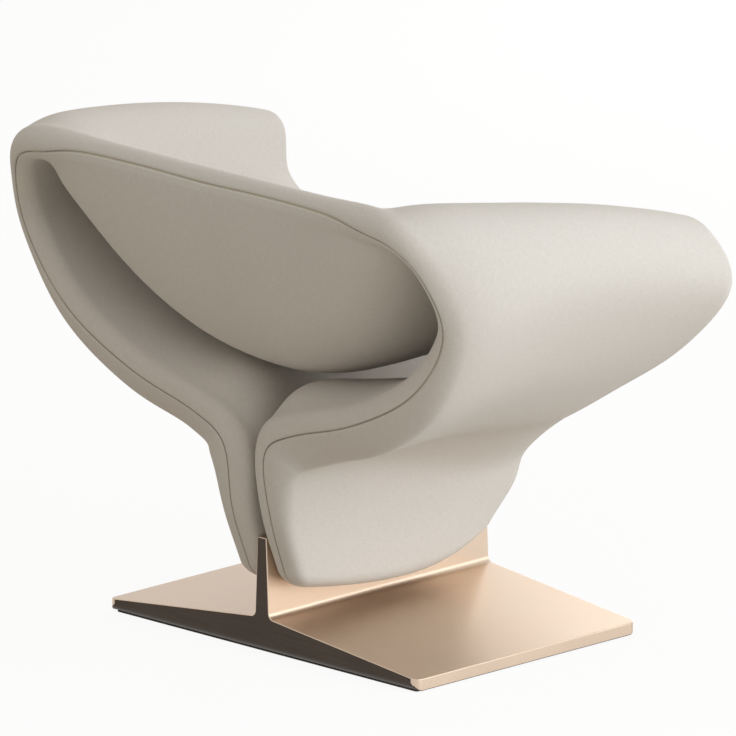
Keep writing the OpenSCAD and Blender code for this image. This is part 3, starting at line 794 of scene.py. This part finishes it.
def add_bump(tree, shader, height, strength, distance):
    made = node(tree, "ShaderNodeBump", in_Strength=strength, in_Distance=distance)
    tree.links.new(height, made.inputs["Height"])
    tree.links.new(made.outputs["Normal"], shader.inputs["Normal"])


def fabric_material(name, finishes):
    """Plain woven wool cloth: fine yarns both ways, soft mottling, and painted shade that
    darkens the seam grooves.
    """
    material, tree, shader = new_material(name)
    uv = tree.nodes.new("ShaderNodeUVMap")
    uv.uv_map = CLOTH_MAP
    drift = node(tree, "ShaderNodeTexNoise", in_Scale=160.0, in_Detail=2.0)
    tree.links.new(uv.outputs["UV"], drift.inputs["Vector"])
    shift = node(tree, "ShaderNodeVectorMath", operation="SCALE", in_Scale=0.0006)
    tree.links.new(drift.outputs["Color"], shift.inputs[0])
    moved = node(tree, "ShaderNodeVectorMath", operation="ADD")
    tree.links.new(uv.outputs["UV"], moved.inputs[0])
    tree.links.new(shift.outputs["Vector"], moved.inputs[1])
    yarns = []
    for direction in ("X", "Y"):
        wave = node(tree, "ShaderNodeTexWave", wave_type="BANDS", bands_direction=direction,
                    wave_profile="SIN", in_Scale=255.0)
        tree.links.new(moved.outputs["Vector"], wave.inputs["Vector"])
        yarns.append(wave.outputs["Fac"])
    weave = math_node(tree, "MULTIPLY", yarns[0], yarns[1])
    fuzz = noise(tree, uv.outputs["UV"], 900.0, 3.0, 0.6)
    grain = math_node(tree, "ADD", math_node(tree, "MULTIPLY", weave, 0.65),
                      math_node(tree, "MULTIPLY", fuzz, 0.35))
    cloth = ramp(tree, grain, 0.05, 0.75, finishes.fabric_low, finishes.fabric)
    slubs = []
    for stretch in ((90, 420, 1), (420, 90, 1)):
        mapping = node(tree, "ShaderNodeMapping", in_Scale=stretch)
        tree.links.new(uv.outputs["UV"], mapping.inputs["Vector"])
        slubs.append(noise(tree, mapping.outputs["Vector"], 1.0, 2.0, 0.6))
    mottle = math_node(tree, "MULTIPLY", math_node(tree, "ADD", *slubs), 0.5)
    tone = ramp(tree, mottle, 0.38, 0.62, (0.935, 0.93, 0.922), (1, 1, 1))
    toned = node(tree, "ShaderNodeMix", data_type="RGBA", blend_type="MULTIPLY",
                 in_0=1.0)
    tree.links.new(cloth, toned.inputs[6])
    tree.links.new(tone, toned.inputs[7])
    # Painted shade: within about 2 mm of each seam the fabric is mixed towards the near-black
    # seam colour, where the groove lies in shade.
    seam = node(tree, "ShaderNodeAttribute", attribute_name="seam",
                attribute_type="GEOMETRY")
    seam_shade = node(tree, "ShaderNodeMapRange", in_1=0.0002, in_2=0.0017, in_3=0.85, in_4=0.0,
                clamp=True)
    tree.links.new(seam.outputs["Fac"], seam_shade.inputs["Value"])
    mixed = node(tree, "ShaderNodeMix", data_type="RGBA", in_7=coloured(finishes.seam))
    tree.links.new(seam_shade.outputs["Result"], mixed.inputs[0])
    tree.links.new(toned.outputs[2], mixed.inputs[6])
    tree.links.new(mixed.outputs[2], shader.inputs["Base Color"])
    rough = ramp(tree, fuzz, 0.3, 0.7, (0.84, 0.84, 0.84), (0.95, 0.95, 0.95))
    tree.links.new(rough, shader.inputs["Roughness"])
    shader.inputs["Specular IOR Level"].default_value = 0.25
    shader.inputs["Sheen Weight"].default_value = 0.12
    shader.inputs["Sheen Roughness"].default_value = 0.45
    shader.inputs["Sheen Tint"].default_value = (1, 0.97, 0.93, 1)
    add_bump(tree, shader, grain, 0.35, 0.0004)
    return material


def brushed_metal(name, colour, scale, roughness, dark=0.86):
    """Brushed and anodised metal: fine lines along one direction, soft gloss."""
    material, tree, shader = new_material(name)
    lines = noise(tree, object_place(tree, scale), 1.0, 4.0, 0.65)
    cloud = noise(tree, object_place(tree, (1, 1, 1)), 9.0, 3.0, 0.5)
    mixed = math_node(tree, "ADD", math_node(tree, "MULTIPLY", lines, 0.7),
                      math_node(tree, "MULTIPLY", cloud, 0.3))
    low = tuple(dark * part for part in colour)
    tree.links.new(ramp(tree, mixed, 0.3, 0.7, low, colour), shader.inputs["Base Color"])
    shader.inputs["Metallic"].default_value = 1.0
    spread = ramp(tree, mixed, 0.3, 0.7, (roughness - 0.05,) * 3, (roughness + 0.07,) * 3)
    tree.links.new(spread, shader.inputs["Roughness"])
    add_bump(tree, shader, lines, 0.12, 0.0002)
    return material


def plain_metal(name, colour, metallic, roughness):
    """Painted or plated steel with a faint cloudiness and fine grain."""
    material, tree, shader = new_material(name)
    place = object_place(tree, (1, 1, 1))
    cloud = noise(tree, place, 40.0, 4.0, 0.6)
    grain = noise(tree, place, 900.0, 2.0, 0.5)
    low = tuple(0.8 * part for part in colour)
    tree.links.new(ramp(tree, cloud, 0.3, 0.7, low, colour), shader.inputs["Base Color"])
    shader.inputs["Metallic"].default_value = metallic
    spread = ramp(tree, cloud, 0.3, 0.7, (roughness - 0.06,) * 3, (roughness + 0.06,) * 3)
    tree.links.new(spread, shader.inputs["Roughness"])
    add_bump(tree, shader, grain, 0.15, 0.0003)
    return material


def webbing_material(name, colour):
    """Elastic webbing: ribs across the strap and a fuzzy black yarn."""
    material, tree, shader = new_material(name)
    place = object_place(tree, (1, 1, 1))
    wave = node(tree, "ShaderNodeTexWave", wave_type="BANDS", bands_direction="DIAGONAL",
                in_Scale=120.0, in_Distortion=1.5)
    tree.links.new(place, wave.inputs["Vector"])
    fuzz = noise(tree, place, 1400.0, 2.0, 0.6)
    ribs = math_node(tree, "ADD", math_node(tree, "MULTIPLY", wave.outputs["Fac"], 0.7),
                     math_node(tree, "MULTIPLY", fuzz, 0.3))
    high = tuple(min(1, 2.2 * part + 0.01) for part in colour)
    tree.links.new(ramp(tree, ribs, 0.2, 0.9, colour, high), shader.inputs["Base Color"])
    shader.inputs["Roughness"].default_value = 0.85
    add_bump(tree, shader, ribs, 0.5, 0.0006)
    return material


def foam_material(name, colour):
    """Moulded foam: small open cells under a thin skin."""
    material, tree, shader = new_material(name)
    place = object_place(tree, (1, 1, 1))
    cells = node(tree, "ShaderNodeTexVoronoi", in_Scale=420.0)
    tree.links.new(place, cells.inputs["Vector"])
    cloud = noise(tree, place, 25.0, 3.0, 0.5)
    mixed = math_node(tree, "ADD",
                      math_node(tree, "MULTIPLY", cells.outputs["Distance"], 0.6),
                      math_node(tree, "MULTIPLY", cloud, 0.4))
    low = tuple(0.72 * part for part in colour)
    tree.links.new(ramp(tree, mixed, 0.1, 0.7, low, colour), shader.inputs["Base Color"])
    shader.inputs["Roughness"].default_value = 0.9
    add_bump(tree, shader, cells.outputs["Distance"], 0.4, 0.0008)
    return material


def felt_material(name, colour):
    """Pressed felt: matted fibres in a dark colour."""
    material, tree, shader = new_material(name)
    fibres = noise(tree, object_place(tree, (1, 1, 1)), 1200.0, 5.0, 0.75)
    high = tuple(min(1, 2.0 * part) for part in colour)
    tree.links.new(ramp(tree, fibres, 0.3, 0.75, colour, high),
                   shader.inputs["Base Color"])
    shader.inputs["Roughness"].default_value = 0.95
    add_bump(tree, shader, fibres, 0.6, 0.0006)
    return material


def dress(material, *names):
    """Gives CAD nodes a finished material in place of their plain one."""
    for name in names:
        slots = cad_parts[name].material_slots
        if slots:
            for material_slot in slots:
                material_slot.material = material
        else:
            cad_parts[name].data.materials.append(material)


# Operators

class CHAIR_OT_outer_panel(bpy.types.Operator):
    """Makes the fabric panel on the outside of the ribbon"""
    bl_idname = "chair.outer_panel"
    bl_label = "Outer Fabric Panel"

    def execute(self, context):
        sizes = context.scene.chair_ribbon
        cloth = fabric_material("outer_cloth", context.scene.chair_finishes)
        piece = new_piece("outer_panel", fabric_panel("outer", sizes), cloth)
        thicken(piece, sizes)
        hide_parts("outer_cover")
        return {"FINISHED"}


class CHAIR_OT_inner_panel(bpy.types.Operator):
    """Makes the fabric panel on the inside of the ribbon"""
    bl_idname = "chair.inner_panel"
    bl_label = "Inner Fabric Panel"

    def execute(self, context):
        sizes = context.scene.chair_ribbon
        cloth = fabric_material("inner_cloth", context.scene.chair_finishes)
        piece = new_piece("inner_panel", fabric_panel("inner", sizes), cloth)
        thicken(piece, sizes)
        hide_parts("inner_cover")
        return {"FINISHED"}


class CHAIR_OT_foam(bpy.types.Operator):
    """Makes the moulded foam of the legs, the arms and the seat and back"""
    bl_idname = "chair.foam"
    bl_label = "Foam"

    def execute(self, context):
        sizes = context.scene.chair_ribbon
        foam = foam_material("moulded_foam", context.scene.chair_finishes.foam)
        far = 2 * HALF_WAY
        leg = np.linspace(0, LEG_END, 25)
        leg_pocket = np.linspace(POCKET_START, LEG_END, 23)
        arm = np.linspace(LEG_END, ARM_END, 53)
        seat = np.linspace(ARM_END, far - ARM_END, 61)
        for name, us, pocket_us, stands_for in (
                ("leg_pad", leg, leg_pocket, "leg_foam"), ("arm_pad", arm, None, "arm_foam")):
            for side in ("left", "right"):
                bm = foam_block(us, sizes, name == "leg_pad", pocket_us)
                if side == "right":
                    bmesh.ops.scale(bm, vec=(-1, 1, 1), verts=bm.verts)
                    bmesh.ops.reverse_faces(bm, faces=bm.faces)
                bridge_foam(bm)
                piece = new_piece(f"{name}_{side}", bm, foam)
                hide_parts(f"{stands_for}_{side}")
        bm = foam_block(seat, sizes, False)
        bridge_foam(bm)
        piece = new_piece("seat_back_pad", bm, foam)
        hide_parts("seat_back_foam")
        return {"FINISHED"}


class CHAIR_OT_pedestal(bpy.types.Operator):
    """Makes the metal plate with its upright fin"""
    bl_idname = "chair.pedestal"
    bl_label = "Pedestal"

    def execute(self, context):
        sizes = context.scene.chair_pedestal
        finishes = context.scene.chair_finishes
        metal = brushed_metal("brushed_champagne_metal", tuple(finishes.metal),
                              (14, 1100, 1100), 0.42)
        # A darker copy of the metal for the ends and the underside: painted shade.
        end_shade_metal = brushed_metal("painted_end_shade_metal", tuple(finishes.metal_end_shade),
                                   (10, 900, 1500), 0.38, 0.6)
        piece = new_piece("plate_and_fin", pedestal_bmesh(sizes), (metal, end_shade_metal))
        cut_bores(piece, sizes.bolt_hole, sizes.fin_foot)
        rear = sizes.depth / 2 - 1e-4
        # The end faces and the downward faces take the darker copy: painted shade.
        for polygon in piece.data.polygons:
            at_end = abs(polygon.normal.y) > 0.99 and abs(polygon.center.y) > rear
            polygon.material_index = int(at_end or polygon.normal.z < -0.1)
            polygon.use_smooth = True
        modifier = piece.modifiers.new("even_normals", "WEIGHTED_NORMAL")
        modifier.weight = 100
        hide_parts("pedestal")
        return {"FINISHED"}


class CHAIR_OT_frame_finish(bpy.types.Operator):
    """Finishes the steel tubes, the clamp, the straps and the floor pad"""
    bl_idname = "chair.frame_finish"
    bl_label = "Frame Finish"

    def execute(self, context):
        finishes = context.scene.chair_finishes
        dress(plain_metal("painted_frame_steel", tuple(finishes.steel), 0.0, 0.45),
              "rear_frame_tube", "front_frame_tube", "cross_tubes_left",
              "cross_tubes_right", "clamp_plate_left", "clamp_plate_right")
        dress(plain_metal("zinc_plated_steel", tuple(finishes.zinc), 1.0, 0.34),
              "spacer_sleeves", "clamp_bolts", "clamp_washers", "clamp_nuts")
        dress(webbing_material("elastic_webbing", tuple(finishes.webbing)),
              "seat_webbing", "arm_webbing_left", "arm_webbing_right")
        dress(felt_material("floor_felt", tuple(finishes.felt)), "floor_pad")
        return {"FINISHED"}


def shown_white(tree):
    """One for the rays that show the background: camera, gloss and glass."""
    path = tree.nodes.new("ShaderNodeLightPath")
    both = math_node(tree, "ADD", path.outputs["Is Camera Ray"],
                     path.outputs["Is Glossy Ray"])
    return math_node(tree, "ADD", both, path.outputs["Is Transmission Ray"], clamp=True)


def floor_material(stage):
    """Pale floor: plain white to the eye, with the chair's soft shadow on it."""
    material = bpy.data.materials.new("pale_floor")
    material.use_nodes = True
    tree = material.node_tree
    tree.nodes.clear()
    output = tree.nodes.new("ShaderNodeOutputMaterial")
    shown = shown_white(tree)
    colour = node(tree, "ShaderNodeMix", data_type="RGBA",
                  in_6=coloured(stage.floor_colour), in_7=(1, 1, 1, 1))
    tree.links.new(shown, colour.inputs[0])
    matt = tree.nodes.new("ShaderNodeBsdfDiffuse")
    tree.links.new(colour.outputs[2], matt.inputs["Color"])
    white = node(tree, "ShaderNodeEmission", in_Color=(1, 1, 1, 1), in_Strength=1.0)
    mix = tree.nodes.new("ShaderNodeMixShader")
    share = math_node(tree, "MULTIPLY", shown, stage.floor_white)
    tree.links.new(share, mix.inputs["Fac"])
    tree.links.new(matt.outputs["BSDF"], mix.inputs[1])
    tree.links.new(white.outputs["Emission"], mix.inputs[2])
    tree.links.new(mix.outputs["Shader"], output.inputs["Surface"])
    return material


def sky(stage):
    """World: white where it is seen, and an even light from all round."""
    world = bpy.data.worlds.new("studio")
    bpy.context.scene.world = world
    world.use_nodes = True
    tree = world.node_tree
    tree.nodes.clear()
    output = tree.nodes.new("ShaderNodeOutputWorld")
    seen = node(tree, "ShaderNodeBackground", in_Color=(1, 1, 1, 1), in_Strength=1.0)
    light = node(tree, "ShaderNodeBackground", in_Color=coloured(stage.sky_colour),
                 in_Strength=stage.sky_level)
    mix = tree.nodes.new("ShaderNodeMixShader")
    tree.links.new(shown_white(tree), mix.inputs["Fac"])
    tree.links.new(light.outputs["Background"], mix.inputs[1])
    tree.links.new(seen.outputs["Background"], mix.inputs[2])
    tree.links.new(mix.outputs["Shader"], output.inputs["Surface"])


def lamp(name, place, size, power, colour):
    """Square area lamp that shines from its place towards the chair."""
    light = bpy.data.lights.new(name, "AREA")
    light.shape = "SQUARE"
    light.size = size
    light.energy = power
    light.color = colour
    made = bpy.data.objects.new(name, light)
    bpy.context.scene.collection.objects.link(made)
    made.location = place
    made.rotation_mode = "QUATERNION"
    made.rotation_quaternion = (Vector(LAMP_AIM) - Vector(place)).to_track_quat("-Z", "Y")


class CHAIR_OT_stage(bpy.types.Operator):
    """Makes the pale floor, the studio light and the camera"""
    bl_idname = "chair.stage"
    bl_label = "Stage"

    def execute(self, context):
        stage = context.scene.chair_stage
        context.scene.view_settings.view_transform = "Standard"
        bm = bmesh.new()
        bmesh.ops.create_circle(bm, cap_ends=True, segments=64, radius=FLOOR_RADIUS)
        mesh = bpy.data.meshes.new("floor")
        bm.to_mesh(mesh)
        bm.free()
        floor = bpy.data.objects.new("floor", mesh)
        context.scene.collection.objects.link(floor)
        mesh.materials.append(floor_material(stage))
        sky(stage)
        for name, place, size, power, colour in (
                ("key_lamp", (-3.6, -1.3, 0.95), 4.0, stage.key_power, (0.9, 0.95, 1)),
                ("side_lamp", (-3.9, 0.6, 1.0), 3.6, stage.side_power, (0.92, 0.96, 1)),
                ("top_lamp", (0.2, 0, 3.6), 2.4, stage.top_power, (0.72, 0.86, 1)),
                ("back_lamp", (-0.5, 3.0, 3.0), 2.6, stage.back_power, (0.75, 0.88, 1)),
                ("front_lamp", (1.6, -3.6, 0.9), 2.0, stage.front_power, (1, 1, 1))):
            lamp(name, place, size, power, colour)

        azimuth, elevation = stage.azimuth, stage.elevation
        back = Vector((math.sin(azimuth) * math.cos(elevation),
                       -math.cos(azimuth) * math.cos(elevation), math.sin(elevation)))
        right = (-back).cross(Vector((0, 0, 1))).normalized()
        up = right.cross(-back)
        data = bpy.data.cameras.new("camera")
        data.lens = stage.lens
        data.sensor_width = 36
        distance = stage.view_width / 2 / (data.sensor_width / 2 / stage.lens)
        data.clip_start = 1
        data.clip_end = 4 * distance
        camera = bpy.data.objects.new("camera", data)
        context.scene.collection.objects.link(camera)
        aim = up * stage.view_up + right * stage.view_right
        camera.location = aim + back * distance
        camera.rotation_mode = "QUATERNION"
        camera.rotation_quaternion = (-back).to_track_quat("-Z", "Y")
        context.scene.camera = camera
        return {"FINISHED"}


OPERATORS = (
    CHAIR_OT_stage, CHAIR_OT_foam, CHAIR_OT_outer_panel, CHAIR_OT_inner_panel,
    CHAIR_OT_pedestal, CHAIR_OT_frame_finish,
)


class VIEW3D_PT_lounge_chair(bpy.types.Panel):
    bl_label = "Lounge Chair"
    bl_idname = "VIEW3D_PT_lounge_chair"
    bl_space_type = "VIEW_3D"
    bl_region_type = "UI"
    bl_category = "Lounge Chair"

    def draw(self, context):
        layout = self.layout
        for operator in OPERATORS:
            layout.operator(operator.bl_idname)
        for name, group in GROUPS:
            box = layout.box()
            settings = getattr(context.scene, name)
            for prop in group.__annotations__:
                box.prop(settings, prop)


CLASSES = tuple(group for _, group in GROUPS) + OPERATORS + (VIEW3D_PT_lounge_chair,)


def register():
    for one in CLASSES:
        bpy.utils.register_class(one)
    for name, group in GROUPS:
        setattr(bpy.types.Scene, name, PointerProperty(type=group))


def unregister():
    for name, _ in GROUPS:
        delattr(bpy.types.Scene, name)
    for one in reversed(CLASSES):
        bpy.utils.unregister_class(one)


def main():
    register()
    bpy.ops.chair.stage()
    bpy.ops.chair.foam()
    bpy.ops.chair.outer_panel()
    bpy.ops.chair.inner_panel()
    bpy.ops.chair.pedestal()
    bpy.ops.chair.frame_finish()


if __name__ == "__main__":
    main()
